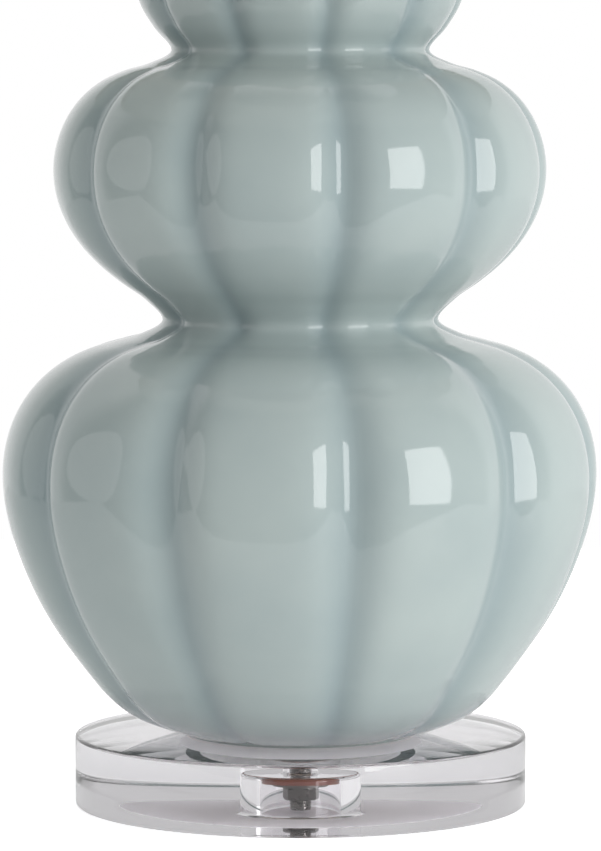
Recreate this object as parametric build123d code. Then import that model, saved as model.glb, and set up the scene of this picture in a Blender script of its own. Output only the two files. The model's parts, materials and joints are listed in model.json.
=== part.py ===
from build123d import *
import math
import os

# Ribbed triple-gourd table lamp: glazed ceramic body on a clear acrylic disc, with socket, harp
# and drum shade. Millimetres, +Z up, origin on the table under the middle of the lamp. One lobe
# of the body faces -Y, the front; the cord outlet is low on the lobe that faces +Y, the back.

# ---------------------------------------------------------------- driving dimensions: base
pad_radius = 54.5            # round pad stuck under the disc
pad_thickness = 1.0
disc_radius = 101.6          # clear disc, 8 in across
disc_thickness = 31.75       # 1 1/4 in
disc_edge = 1.5              # bevel of its rims
counterbore_radius = 18.25   # pocket for the clamp nut, open downwards
counterbore_depth = 16.5
fibre_washer_radius = 17.5
fibre_washer_thickness = 3.0
flat_washer_radius = 12.7
flat_washer_thickness = 1.6
lock_washer_radius = 8.6
lock_washer_thickness = 1.2
lock_washer_teeth = 10
lock_tooth_depth = 1.3
nut_across_flats = 14.3      # 9/16 in
nut_height = 4.8
rod_radius = 4.95            # lamp pipe, 1/8 in nominal
rod_bore_radius = 3.35
rod_tail = 4.2               # length of rod that shows below the nut
gasket_outer_radius = 51.0
gasket_width = 6.0
gasket_thickness = 0.8

# ---------------------------------------------------------------- driving dimensions: ceramic body
lobes = 10
foot_radius = 53.0
belly_radii = (133.8, 110.6, 74.0)       # crest radius of each tier, from the bottom
waist_radii = (61.9, 57.7)
neck_radius = 33.0
flank_rises = (118.5, 67.0, 67.1, 53.4, 33.5, 26.5)  # from the foot to each belly, waist and the neck
neck_rim_height = 5.5
section_spacing = 13.0                   # most distance between two sections, along the outline
belly_groove = 0.065                     # depth of the grooves, as a share of the crest radius
waist_groove = 0.043
foot_groove = 0.036
neck_groove = 0.008
ceramic_wall = 7.0
foot_recess_depth = 3.0
foot_ring_width = 7.0
floor_thickness = 6.0
body_rod_hole_radius = 6.0
neck_hole_radius = 10.0

# Shapes of the flanks, as (share of the height, share of the radius) between two levels. They say
# how the wall curves, whatever the radii and heights of the two levels are.
bowl_shape = ((0.03, 0.14), (0.09, 0.33), (0.24, 0.54), (0.43, 0.737), (0.68, 0.91))
flare_shape = ((0.067, 0.05), (0.20, 0.275), (0.40, 0.62), (0.667, 0.89))
shoulder_shape = ((0.333, 0.065), (0.60, 0.23), (0.80, 0.51), (0.93, 0.91))
# Corners of half a lobe, as (share of the half pitch from the crest, share of the groove's depth).
lobe_shape = ((0.58, 0.22), (0.85, 0.77), (1.0, 1.0))

# ---------------------------------------------------------------- driving dimensions: cord outlet
outlet_place = 0.062         # how far up the outline the outlet is, as a share of its length
outlet_hole_radius = 6.5
outlet_flange_radius = 8.5
outlet_flange_thickness = 2.5
outlet_bore_radius = 3.3
outlet_tail = 4.0            # how far the bushing's barrel reaches past the wall

# ---------------------------------------------------------------- driving dimensions: neck hardware
vase_cap_radius = 36.0
vase_cap_height = 7.5
vase_cap_wall = 1.2
vase_cap_rim = 2.5
vase_cap_seat_radius = 13.0
neck_tube_height = 18.0
neck_tube_radius = 11.0
neck_tube_waist = 8.0
neck_tube_bead = 2.5
neck_tube_hollow = 0.6       # how much thinner its middle is than its waist
saddle_width = 10.0
saddle_thickness = 1.6
saddle_eye_radius = 9.0
saddle_flat_half = 13.0
saddle_rise = 8.0            # height of its arms above the strip
tab_width = 4.6
tab_height = 7.0

# ---------------------------------------------------------------- driving dimensions: socket
socket_radius = 19.0
socket_wall = 0.8
cap_collar_radius = 7.6
cap_collar_height = 8.0
cap_height = 22.0
cap_lap = 4.0                # how far the shell reaches down into the cap
shell_height = 40.0
liner_wall = 0.8
interior_height = 17.0
screw_shell_height = 22.0
screw_shell_wall = 0.5
set_screw_radius = 1.8
set_screw_head_height = 1.4
screw_slot_width = 0.8
screw_slot_depth = 0.7
terminal_radius = 3.4
terminal_height = 1.8
terminal_recess = 2.0        # how far the terminals' heads lie inside the block
liner_set_back = 2.0         # from the shell's rim down to the liner's
tongue_height = 1.5          # of the sprung contact above the block
switch_height = 9.0          # height of the switch shaft above the cap's rim
switch_shaft_radius = 2.2
switch_gap = 3.0             # between the shell and the knob
knob_radius = 5.6
knob_length = 13.0
knob_sides = 12

# ---------------------------------------------------------------- driving dimensions: harp
harp_half_foot = 28.0        # where its legs stand, from the lamp's axis
harp_half_width = 57.0
harp_half_top = 13.0
harp_height = 228.6          # 9 in, from the saddle to the seat for the shade
harp_wire_radius = 1.6
wire_sides = 8               # bent wires are drawn with flats
harp_leg = 30.0              # straight foot of each leg
harp_bulge_low = 62.0        # heights above the saddle between which the harp is widest
harp_bulge_high = 130.0
harp_bends = (12.0, 20.0, 60.0, 12.0)    # radii of its bends, from the leg to the plate
harp_plate_length = 17.0
harp_plate_width = 11.0
harp_plate_thickness = 3.2
ferrule_bore_radius = 3.1
ferrule_wall = 1.0
ferrule_height = 14.0
ferrule_rim = 0.6
ferrule_rim_height = 2.4
seat_radius = 9.0
seat_thickness = 2.4
swivel_neck_radius = 3.9
swivel_head_radius = 6.0
swivel_head_height = 1.8
stud_radius = 3.1
stud_height = 15.0

# ---------------------------------------------------------------- driving dimensions: shade and finial
shade_top_radius = 190.5     # 15 in across
shade_bottom_radius = 203.2  # 16 in across
shade_height = 254.0         # 10 in
shade_wall = 1.2
shade_sides = 72             # the drum and its trims are drawn with this many flats
spider_drop = 13.0
spider_hub_radius = 14.0
spider_hub_thickness = 1.6
spider_arm_radius = 1.6
spider_arms = 3
ring_half = 1.5              # half width of the rings' wire
trim_height = 9.0
trim_wall = 0.7
finial_height = 31.0
finial_radius = 7.5
finial_foot_radius = 8.5

# ---------------------------------------------------------------- driving dimensions: bulb
bulb_radius = 30.0
bulb_length = 107.0          # from the contact to the crown
bulb_base_radius = 13.1
bulb_base_height = 23.0
bulb_base_bevel = 1.0        # height of the slope at its lower edge
bulb_neck_radius = 14.2
bulb_neck_height = 18.0
bulb_neck_swell = 2.2        # how much wider the neck is at that height
bulb_flare_radius = 24.6     # where the neck has opened out under the crown
bulb_flare_drop = 22.5       # how far that is below the crown's centre
bulb_crown_angles = (-12, 20, 50, 72)    # where the crown's steps are, in degrees up its arc
bulb_crown_flat = 4.5        # radius of its flat top
bulb_tip_radius = 4.6
bulb_tip_height = 2.2
bulb_insulator_height = 3.6

# ---------------------------------------------------------------- clearances
rod_clearance = 0.15         # round the rod, in every piece that it passes through
hole_clearance = 0.3         # a turned piece in a drilled hole
slip_clearance = 0.25        # sheet metal shells inside each other
turn_clearance = 0.08        # round a shaft that turns
seat_clearance = 0.1         # under the bushing's flat flange on the curved wall
rest_gap = 0.3               # between pieces that rest on each other and move apart


# ---------------------------------------------------------------- levels, from the table up
disc_bottom = pad_thickness
disc_top = disc_bottom + disc_thickness
pocket_ceiling = disc_bottom + counterbore_depth
fibre_bottom = pocket_ceiling - fibre_washer_thickness
flat_bottom = fibre_bottom - flat_washer_thickness
lock_bottom = flat_bottom - lock_washer_thickness
nut_bottom = lock_bottom - nut_height
rod_bottom = nut_bottom - rod_tail
foot_level = disc_top + gasket_thickness
neck_level = foot_level + sum(flank_rises)
body_top = neck_level + neck_rim_height
cap_seat_level = body_top + vase_cap_height
saddle_level = cap_seat_level + neck_tube_height
socket_level = saddle_level + saddle_thickness
cap_rim_level = socket_level + cap_height
shell_bottom = cap_rim_level - cap_lap
interior_bottom = shell_bottom
interior_top = interior_bottom + interior_height
switch_level = cap_rim_level + switch_height
rod_top = socket_level + cap_collar_height
harp_top = saddle_level + harp_height
seat_level = harp_top + rest_gap
hub_level = seat_level + seat_thickness
shade_top = hub_level + spider_drop
shade_bottom = shade_top - shade_height
finial_level = hub_level + spider_hub_thickness + rest_gap
bulb_tip_level = interior_top + tongue_height
rod_hole_radius = rod_radius + rod_clearance


def turned(points, level=0.0):
    """A turned piece: a closed outline of (radius, height) points, spun about the vertical axis."""
    outline = Polyline(*[(r, z + level) for r, z in points], close=True)
    return revolve(Plane.XZ * make_face(outline), Axis.Z)


def tube(outer, inner, height, level=0.0):
    """A plain ring or tube that stands on a level."""
    return turned([(inner, 0), (outer, 0), (outer, height), (inner, height)], level)


def upright(radius, bottom, top, x=0.0, y=0.0):
    """A plain round bar between two levels."""
    return Pos(x, y, (bottom + top) / 2) * Cylinder(radius, top - bottom)


# ---------------------------------------------------------------- base
def underside_pad():
    return upright(pad_radius, 0, pad_thickness)


def acrylic_base():
    """The thick clear disc, bevelled at both rims, bored for the rod and pocketed for the nut."""
    disc = upright(disc_radius, disc_bottom, disc_top)
    disc = chamfer(disc.edges().filter_by(GeomType.CIRCLE), disc_edge)
    disc -= upright(rod_radius + hole_clearance, disc_bottom, disc_top)
    return disc - upright(counterbore_radius, disc_bottom, pocket_ceiling)


def lock_washer():
    """A star washer: a thin ring with notches between its outer teeth."""
    washer = tube(lock_washer_radius, rod_hole_radius, lock_washer_thickness, lock_bottom)
    notch_width = math.pi * lock_washer_radius / lock_washer_teeth
    notch = Box(lock_tooth_depth * 2, notch_width, lock_washer_thickness)
    middle = lock_bottom + lock_washer_thickness / 2
    for place in PolarLocations(lock_washer_radius, lock_washer_teeth):
        washer -= Pos(0, 0, middle) * place * notch
    return washer


def base_nut():
    """A hexagon nut with its corners turned off at both ends."""
    hexagon = RegularPolygon(nut_across_flats / 2, 6, major_radius=False)
    nut = extrude(Pos(0, 0, nut_bottom) * hexagon, nut_height)
    corner_radius = nut_across_flats / math.sqrt(3)
    bevel = corner_radius - nut_across_flats / 2
    turned_blank = upright(corner_radius, nut_bottom, nut_bottom + nut_height)
    turned_blank = chamfer(turned_blank.edges().filter_by(GeomType.CIRCLE), bevel * 0.5, bevel)
    return (nut & turned_blank) - upright(rod_hole_radius, nut_bottom, nut_bottom + nut_height)


# ---------------------------------------------------------------- ceramic body
def body_levels():
    """(crest radius, height, groove) at the foot, at each belly and waist, and at the neck."""
    widest = [(radius, belly_groove) for radius in belly_radii]
    narrowest = [(radius, waist_groove) for radius in waist_radii] + [(neck_radius, neck_groove)]
    above = [turn for pair in zip(widest, narrowest) for turn in pair]
    levels = [(foot_radius, foot_level, foot_groove)]
    for (radius, groove), rise in zip(above, flank_rises):
        levels.append((radius, levels[-1][1] + rise, groove))
    return levels


def body_outline():
    """The points of the outline from the foot to the rim, as (crest radius, height, groove)."""
    levels = body_levels()
    shapes = [bowl_shape] + [shoulder_shape, flare_shape] * len(waist_radii) + [shoulder_shape]
    points = []
    for low, high, shape in zip(levels, levels[1:], shapes):
        points.append(low)
        for height_share, radius_share in shape:
            ease = height_share * height_share * (3 - 2 * height_share)
            shares = (radius_share, height_share, ease)
            points.append(tuple(a + (b - a) * share for a, b, share in zip(low, high, shares)))
    rim = (neck_radius, body_top, neck_groove)
    return [*points, levels[-1], rim]


def body_stations():
    """(crest radius, height, groove) at each section of the loft, evenly spaced on each flank."""
    keys = body_outline()
    curve = Spline(*[(radius, height) for radius, height, _ in keys])
    along = [0.0]
    for low, high in zip(keys, keys[1:]):
        along.append(along[-1] + math.dist(low[:2], high[:2]))
    ends = [keys.index(level) for level in body_levels()[:-1]] + [len(keys) - 1]
    stations = []
    for low, high in zip(ends, ends[1:]):
        count = math.ceil((along[high] - along[low]) / section_spacing)
        for step in range(count):
            reach = along[low] + (along[high] - along[low]) * step / count
            place = curve @ (reach / along[-1])
            groove = keys[low][2] + (keys[high][2] - keys[low][2]) * step / count
            stations.append((place.X, place.Y, groove))
    return [*stations, keys[-1]]


def many_sided(corners, level):
    """A closed flat outline at a level, through corners given as (radius, angle)."""
    return Wire.make_polygon([(r * math.cos(a), r * math.sin(a), level) for r, a in corners])


def lobed_outline(crest_radius, level, groove):
    """One horizontal section of the body: equal lobes with flats, that meet in the grooves."""
    half_pitch = math.pi / lobes
    half_lobe = [(share * half_pitch, crest_radius * (1 - groove * d)) for share, d in lobe_shape]
    corners = []
    for number in range(lobes):
        crest = 2 * half_pitch * number - math.pi / 2
        corners += [(radius, crest - turn) for turn, radius in reversed(half_lobe)]
        corners.append((crest_radius, crest))
        corners += [(radius, crest + turn) for turn, radius in half_lobe[:-1]]
    return many_sided(corners, level)


def outlet_plane():
    """The plane on the back lobe where the cord leaves, square to the wall."""
    curve = Spline(*[(radius, height) for radius, height, _ in body_outline()])
    place = curve @ outlet_place
    along = curve % outlet_place
    return Plane(origin=(0, place.X, place.Y), z_dir=(0, along.Y, -along.X))


def body_cavity():
    """The hollow inside the shell: as many sides as lobes, with its corners under the crests."""
    floor = foot_level + foot_recess_depth + floor_thickness
    ceiling = body_top - 1.5 * ceramic_wall
    steps = [(foot_radius + foot_recess_depth, floor)]
    keys = body_outline()
    for before, key, after in zip(keys[2::2], keys[3::2], keys[4::2]):
        run, rise = after[0] - before[0], after[1] - before[1]
        wall_share = ceramic_wall / math.hypot(run, rise)
        level = key[1] + run * wall_share
        if steps[-1][1] < level < ceiling:
            steps.append((key[0] - rise * wall_share, level))
    steps.append((neck_radius - ceramic_wall, ceiling))
    crests = [2 * math.pi * number / lobes - math.pi / 2 for number in range(lobes)]
    sections = [many_sided([(radius, crest) for crest in crests], level) for radius, level in steps]
    return Solid.make_loft(sections, ruled=True)


def ceramic_body():
    """The slip-cast shell: ten lobes over three bellies, lofted from section to section."""
    shell = Solid.make_loft([lobed_outline(*station) for station in body_stations()], ruled=True)
    shell = Part() + shell - body_cavity()
    recess_radius = foot_radius - foot_ring_width
    shell -= upright(recess_radius, foot_level, foot_level + foot_recess_depth)
    shell -= upright(body_rod_hole_radius, foot_level, foot_level + flank_rises[0])
    shell -= upright(neck_hole_radius, body_top - 2 * ceramic_wall, body_top)
    drill = Cylinder(outlet_hole_radius, 4 * ceramic_wall)
    return shell - outlet_plane() * drill


def cord_bushing():
    """The flanged sleeve in the cord's hole. The cord itself isn't part of the lamp as shown."""
    barrel_radius = outlet_hole_radius - hole_clearance
    barrel_length = ceramic_wall * 1.5 + outlet_tail
    rim = outlet_flange_thickness + seat_clearance
    outline = [
        (outlet_bore_radius, -barrel_length),
        (barrel_radius, -barrel_length),
        (barrel_radius, seat_clearance),
        (outlet_flange_radius, seat_clearance),
        (outlet_flange_radius, rim * 0.6),
        (outlet_flange_radius - rim * 0.4, rim),
        (outlet_bore_radius, rim),
    ]
    return outlet_plane() * turned(outline)


# ---------------------------------------------------------------- neck hardware
def vase_cap():
    """The spun metal cap over the top of the body."""
    wall = vase_cap_wall
    slope_start = vase_cap_radius - 1.5 * vase_cap_rim
    outside = [
        (vase_cap_radius, 0),
        (vase_cap_radius, vase_cap_rim),
        (slope_start, vase_cap_rim * 1.6),
        (vase_cap_seat_radius, vase_cap_height),
    ]
    inside = [
        (rod_hole_radius, vase_cap_height - wall),
        (vase_cap_seat_radius, vase_cap_height - wall),
        (slope_start, vase_cap_rim * 1.6 - wall),
        (vase_cap_radius - wall, vase_cap_rim - wall),
        (vase_cap_radius - wall, 0),
    ]
    return turned([*outside, (rod_hole_radius, vase_cap_height), *inside], body_top)


def neck_tube():
    """The turned spindle between the cap and the harp's saddle."""
    bead = neck_tube_bead
    middle = neck_tube_height / 2
    outline = [
        (rod_hole_radius, 0),
        (neck_tube_radius, 0),
        (neck_tube_radius, bead),
        (neck_tube_waist, bead * 1.8),
        (neck_tube_waist - neck_tube_hollow, middle),
        (neck_tube_waist, neck_tube_height - bead * 1.8),
        (neck_tube_radius, neck_tube_height - bead),
        (neck_tube_radius, neck_tube_height),
        (rod_hole_radius, neck_tube_height),
    ]
    return turned(outline, cap_seat_level)


def harp_saddle():
    """The bent strip under the socket, with a tab at each end for the harp's legs."""
    foot = harp_half_foot
    thick = saddle_thickness
    slope = saddle_rise - thick
    right = [
        (saddle_flat_half, 0),
        (foot + thick / 2, slope),
        (foot + thick / 2, saddle_rise + tab_height),
        (foot - thick / 2, saddle_rise + tab_height),
        (foot - thick / 2, slope + thick * 0.6),
        (saddle_flat_half - thick * 0.4, thick),
    ]
    left = [(-x, z) for x, z in reversed(right)]
    strip = Polyline(*[(x, z + saddle_level) for x, z in [*right, *left]], close=True)
    saddle = extrude(Plane.XZ * make_face(strip), saddle_width / 2, both=True)
    shoulder = saddle_level + saddle_rise
    side = (saddle_width - tab_width) / 2
    saddle += upright(saddle_eye_radius, saddle_level, socket_level)
    notch = Box(2 * thick, side, tab_height)
    for x in (-foot, foot):
        for y in (-1, 1):
            saddle -= Pos(x, y * (tab_width + side) / 2, shoulder + tab_height / 2) * notch
    return saddle - upright(rod_hole_radius, saddle_level, socket_level)


# ---------------------------------------------------------------- socket
def socket_cap():
    """The cup at the bottom of the socket: a threaded collar that opens into a round bowl."""
    wall = socket_wall
    collar = cap_collar_height
    flare = cap_height * 0.62
    outline = [
        (rod_hole_radius, 0),
        (cap_collar_radius, 0),
        (cap_collar_radius, collar),
        (socket_radius * 0.86, flare),
        (socket_radius, cap_height * 0.8),
        (socket_radius, cap_height),
        (socket_radius - wall, cap_height),
        (socket_radius - wall, cap_height * 0.8),
        (socket_radius * 0.86 - wall, flare + wall * 0.5),
        (cap_collar_radius - wall, collar + wall),
        (rod_hole_radius, collar + wall),
    ]
    cap = turned(outline, socket_level)
    return cap - set_screw_axis() * Cylinder(set_screw_radius, 4 * cap_collar_radius)


def set_screw_axis():
    """The axis of the screw that locks the cap to the rod. It points to the back."""
    return Plane(origin=(0, cap_collar_radius, socket_level + cap_collar_height / 2), z_dir=(0, 1, 0))


def set_screw():
    length = cap_collar_radius - rod_radius - rod_clearance
    shank = Pos(0, 0, -length / 2) * Cylinder(set_screw_radius - turn_clearance, length)
    head = Pos(0, 0, set_screw_head_height / 2) * Cylinder(set_screw_radius * 1.5, set_screw_head_height)
    slot = Box(set_screw_radius * 4, screw_slot_width, 2 * screw_slot_depth)
    return set_screw_axis() * (shank + head - Pos(0, 0, set_screw_head_height) * slot)


def shell_outer_radius():
    return socket_radius - socket_wall - slip_clearance


def shell_inner_radius():
    return shell_outer_radius() - socket_wall


def switch_plane(distance):
    """The switch shaft's axis, at a distance from the lamp's axis. It points to the front."""
    return Plane(origin=(0, -distance, switch_level), z_dir=(0, -1, 0))


def socket_shell():
    """The straight metal shell, with a rolled lip and a hole for the switch shaft."""
    outer = shell_outer_radius()
    inner = shell_inner_radius()
    lip = socket_wall * 2
    outline = [
        (inner, 0),
        (outer, 0),
        (outer, shell_height - lip),
        (outer + socket_wall, shell_height - lip),
        (outer + socket_wall, shell_height),
        (inner, shell_height),
    ]
    shell = turned(outline, shell_bottom)
    return shell - switch_plane(outer) * Cylinder(switch_shaft_radius * 1.6, socket_radius)


def shell_liner():
    """The insulating sleeve inside the shell."""
    outer = shell_inner_radius() - slip_clearance
    liner = tube(outer, outer - liner_wall, shell_height - liner_set_back, shell_bottom)
    return liner - switch_plane(outer) * Cylinder(switch_shaft_radius * 1.6, socket_radius)


def interior_radius():
    return shell_inner_radius() - 2 * slip_clearance - liner_wall


def terminal_seat():
    """How far from the lamp's axis the terminals' seats are, and their height."""
    level = interior_bottom + interior_height * 0.35
    return interior_radius() - terminal_height - terminal_recess, level


def socket_interior():
    """The moulded block that holds the switch, the terminals and the screw shell."""
    radius = interior_radius()
    seat, level = terminal_seat()
    block = upright(radius, interior_bottom, interior_top)
    for x in (-1, 1):
        pocket = Box(2 * (radius - seat), radius * 1.2, interior_height * 0.6)
        block -= Pos(x * radius, 0, level) * pocket
    bore = Cylinder(switch_shaft_radius + turn_clearance, 2 * radius)
    return block - switch_plane(radius) * bore


def terminal_screws():
    """Two binding screws, one on each side of the block."""
    seat, level = terminal_seat()
    screws = Part()
    for x in (-1, 1):
        plane = Plane(origin=(x * seat, 0, level), z_dir=(x, 0, 0))
        head = Pos(0, 0, terminal_height / 2) * Cylinder(terminal_radius, terminal_height)
        slot = Box(terminal_radius * 3, screw_slot_width, 2 * screw_slot_depth)
        screws += plane * (head - Pos(0, 0, terminal_height) * slot)
    return screws


def screw_shell():
    """The threaded shell that takes the bulb, drawn with plain walls."""
    inner = bulb_base_radius + rest_gap
    return tube(inner + screw_shell_wall, inner, screw_shell_height, interior_top)


def centre_contact():
    """The sprung tongue that meets the bulb's tip."""
    return upright(bulb_tip_radius * 0.8, interior_top, bulb_tip_level - rest_gap)


def switch_shaft():
    start = interior_radius() * 0.5
    end = shell_outer_radius() + switch_gap + knob_length * 0.6
    return switch_plane((start + end) / 2) * Cylinder(switch_shaft_radius, end - start)


def switch_knob():
    """The fluted knob on the end of the shaft."""
    knob = extrude(RegularPolygon(knob_radius, knob_sides), knob_length)
    knob = chamfer(knob.edges().group_by(Axis.Z)[-1], knob_radius * 0.15)
    knob -= Cylinder(switch_shaft_radius + turn_clearance / 2, knob_length * 1.2)
    return switch_plane(shell_outer_radius() + switch_gap) * knob


# ---------------------------------------------------------------- harp
def leg_bottom():
    return saddle_level + saddle_rise + tab_height + rest_gap


def harp():
    """The wire loop round the bulb, flattened at the top into a plate with a hole."""
    foot = (harp_half_foot, leg_bottom())
    knee = (harp_half_foot, leg_bottom() + harp_leg)
    low = (harp_half_width, saddle_level + harp_bulge_low + harp_leg / 2)
    high = (harp_half_width, saddle_level + harp_bulge_high)
    wire_top = harp_top - harp_plate_thickness / 2
    shoulder = (harp_half_top, wire_top)
    right = [foot, knee, low, high, shoulder]
    left = [(-x, z) for x, z in reversed(right)]
    path = FilletPolyline(*right, *left, radius=[*harp_bends, *reversed(harp_bends)])
    path = Plane.XZ * path
    section = Plane(origin=path @ 0, z_dir=path % 0) * RegularPolygon(harp_wire_radius, wire_sides)
    wire = sweep(section, path=path)
    plate = Box(harp_plate_length, harp_plate_width, harp_plate_thickness)
    hole = Cylinder(swivel_neck_radius + turn_clearance, 2 * harp_plate_thickness)
    return wire + Pos(0, 0, wire_top) * plate - Pos(0, 0, wire_top) * hole


def ferrule(side):
    """The sleeve that locks one leg of the harp to the saddle. It slides up the leg."""
    inner = ferrule_bore_radius
    outer = inner + ferrule_wall
    outline = [
        (inner, 0),
        (outer + ferrule_rim, 0),
        (outer + ferrule_rim, ferrule_rim_height),
        (outer, ferrule_rim_height),
        (outer, ferrule_height),
        (inner, ferrule_height),
    ]
    return Pos(side * harp_half_foot, 0, 0) * turned(outline, saddle_level + saddle_rise + rest_gap)


def harp_swivel():
    """The turning seat on top of the harp: a headed rivet, a round seat and a stud for the finial."""
    plate_bottom = harp_top - harp_plate_thickness
    head_bottom = plate_bottom - rest_gap - swivel_head_height
    outline = [
        (0, head_bottom),
        (swivel_head_radius, head_bottom),
        (swivel_head_radius, head_bottom + swivel_head_height),
        (swivel_neck_radius, head_bottom + swivel_head_height),
        (swivel_neck_radius, seat_level),
        (seat_radius, seat_level),
        (seat_radius, hub_level),
        (stud_radius, hub_level),
        (stud_radius, hub_level + stud_height),
        (0, hub_level + stud_height),
    ]
    return turned(outline)


# ---------------------------------------------------------------- shade and finial
def shade_radius(level):
    """Outside radius of the drum at a level."""
    share = (level - shade_bottom) / shade_height
    return shade_bottom_radius + (shade_top_radius - shade_bottom_radius) * share


def shade_outline(level, outward):
    """The drum's outline at a level, drawn with flats, at a distance outward of its outside."""
    radius = shade_radius(level) + outward
    turn = 2 * math.pi / shade_sides
    return many_sided([(radius, turn * side) for side in range(shade_sides)], level)


def cone_band(low, high, outward, wall):
    """A thin band that follows the drum between two levels, its inner face outward of the drum's."""
    outer = Solid.make_loft([shade_outline(level, outward + wall) for level in (low, high)], True)
    inner = Solid.make_loft([shade_outline(level, outward) for level in (low, high)], True)
    return Part() + outer - inner


def shade_drum():
    return cone_band(shade_bottom, shade_top, -shade_wall, shade_wall)


def ring_level(at_top):
    """Height of a ring's middle. The rings sit just inside the drum's hems."""
    return shade_top - 2 * ring_half if at_top else shade_bottom + 2 * ring_half


def ring_radius(at_top):
    """Radius of a ring's middle."""
    return shade_radius(ring_level(at_top)) - shade_wall - ring_half - slip_clearance


def shade_ring(at_top):
    """One wire ring, drawn with six sides."""
    outline = [
        (
            ring_radius(at_top) + ring_half * math.cos(math.radians(60 * corner)),
            ring_level(at_top) + ring_half * math.sin(math.radians(60 * corner)),
        )
        for corner in range(6)
    ]
    return turned(outline)


def shade_spider():
    """The top ring of the drum with three arms that drop to the hub on the harp."""
    spider = shade_ring(True)
    hub_middle = hub_level + spider_hub_thickness / 2
    hub = upright(spider_hub_radius, hub_level, hub_level + spider_hub_thickness)
    rim = ring_radius(True)
    for number in range(spider_arms):
        turn = Rot(0, 0, 360 / spider_arms * number + 90)
        bend = (rim - 3 * spider_drop, hub_middle)
        path = Polyline((spider_hub_radius * 0.7, hub_middle), bend, (rim, ring_level(True)))
        path = Plane.XZ * path
        arm = RegularPolygon(spider_arm_radius, wire_sides)
        section = Plane(origin=path @ 0, z_dir=path % 0) * arm
        spider += turn * sweep(section, path=path, transition=Transition.RIGHT)
    hole = Cylinder(stud_radius + hole_clearance, 4 * spider_arm_radius)
    return spider + hub - Pos(0, 0, hub_middle) * hole


def shade_trim(at_top):
    """The folded fabric tape round one rim of the drum."""
    if at_top:
        return cone_band(shade_top - trim_height, shade_top, slip_clearance / 5, trim_wall)
    return cone_band(shade_bottom, shade_bottom + trim_height, slip_clearance / 5, trim_wall)


def finial():
    """The turned knob that holds the shade down on the harp's seat."""
    outline = [
        (stud_radius + turn_clearance, 0),
        (finial_foot_radius, 0),
        (finial_foot_radius, finial_height * 0.10),
        (finial_radius * 0.60, finial_height * 0.17),
        (finial_radius * 0.42, finial_height * 0.34),
        (finial_radius * 0.75, finial_height * 0.44),
        (finial_radius, finial_height * 0.60),
        (finial_radius * 0.93, finial_height * 0.78),
        (finial_radius * 0.60, finial_height * 0.93),
        (0, finial_height),
        (0, stud_height),
        (stud_radius + turn_clearance, stud_height),
    ]
    return turned(outline, finial_level)


# ---------------------------------------------------------------- bulb
def bulb_base():
    """The bulb's metal screw cap, drawn with plain walls, on its insulator and tip."""
    shoulder = bulb_tip_height + bulb_insulator_height
    outline = [
        (0, bulb_tip_height),
        (bulb_tip_radius * 1.2, bulb_tip_height),
        (bulb_base_radius * 0.8, shoulder - bulb_base_bevel),
        (bulb_base_radius, shoulder),
        (bulb_base_radius, bulb_base_height),
        (0, bulb_base_height),
    ]
    return turned(outline, bulb_tip_level)


def bulb_contact():
    return upright(bulb_tip_radius, bulb_tip_level, bulb_tip_level + bulb_tip_height)


def bulb_envelope():
    """The pear-shaped glass, in straight steps: a neck that swells into a round crown."""
    bottom = bulb_tip_level + bulb_base_height
    centre = bulb_tip_level + bulb_length - bulb_radius
    steps = [
        (bulb_neck_radius, bottom),
        (bulb_neck_radius + bulb_neck_swell, bottom + bulb_neck_height),
        (bulb_flare_radius, centre - bulb_flare_drop),
    ]
    for angle in bulb_crown_angles:
        rise = math.radians(angle)
        steps.append((bulb_radius * math.cos(rise), centre + bulb_radius * math.sin(rise)))
    steps.append((bulb_crown_flat, centre + bulb_radius))
    return Solid.make_loft([Pos(0, 0, level) * Wire.make_circle(r) for r, level in steps], True)


# ---------------------------------------------------------------- the pieces and their files
pieces = {
    "underside_pad": underside_pad(),
    "acrylic_base": acrylic_base(),
    "fibre_washer": tube(fibre_washer_radius, rod_hole_radius, fibre_washer_thickness, fibre_bottom),
    "flat_washer": tube(flat_washer_radius, rod_hole_radius, flat_washer_thickness, flat_bottom),
    "lock_washer": lock_washer(),
    "base_nut": base_nut(),
    "threaded_rod": tube(rod_radius, rod_bore_radius, rod_top - rod_bottom, rod_bottom),
    "foot_gasket": tube(
        gasket_outer_radius, gasket_outer_radius - gasket_width, gasket_thickness, disc_top
    ),
    "ceramic_body": ceramic_body(),
    "cord_bushing": cord_bushing(),
    "vase_cap": vase_cap(),
    "neck_tube": neck_tube(),
    "harp_saddle": harp_saddle(),
    "socket_cap": socket_cap(),
    "set_screw": set_screw(),
    "socket_shell": socket_shell(),
    "shell_liner": shell_liner(),
    "socket_interior": socket_interior(),
    "terminal_screws": terminal_screws(),
    "screw_shell": screw_shell(),
    "centre_contact": centre_contact(),
    "switch_shaft": switch_shaft(),
    "switch_knob": switch_knob(),
    "harp": harp(),
    "ferrule_left": ferrule(-1),
    "ferrule_right": ferrule(1),
    "harp_swivel": harp_swivel(),
    "shade_spider": shade_spider(),
    "shade_bottom_ring": shade_ring(False),
    "shade_drum": shade_drum(),
    "shade_top_trim": shade_trim(True),
    "shade_bottom_trim": shade_trim(False),
    "finial": finial(),
    "bulb_envelope": bulb_envelope(),
    "bulb_base": bulb_base(),
    "bulb_contact": bulb_contact(),
}

os.makedirs("parts", exist_ok=True)
for name, piece in pieces.items():
    export_step(piece, f"parts/{name}.step")
    print(f"{name}: {len(piece.solids())} solid, {piece.volume / 1000:.2f} cm3")
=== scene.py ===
# %% [markdown]
# # A ribbed triple-gourd table lamp, dressed in Blender
# The frame is the lamp as its engineer drew it: every metal, ceramic and plastic piece at its real
# size. This lesson gives each piece the surface that it has on the real lamp. Pieces whose drawn
# shape is already right only get a material. Round pieces that were drawn with flats are turned
# again here, on the same sizes, because a studio light shows every flat on a glossy surface.
# We start by loading the frame, because every later step measures it.

# %% Load the frame
import json
import math

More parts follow.
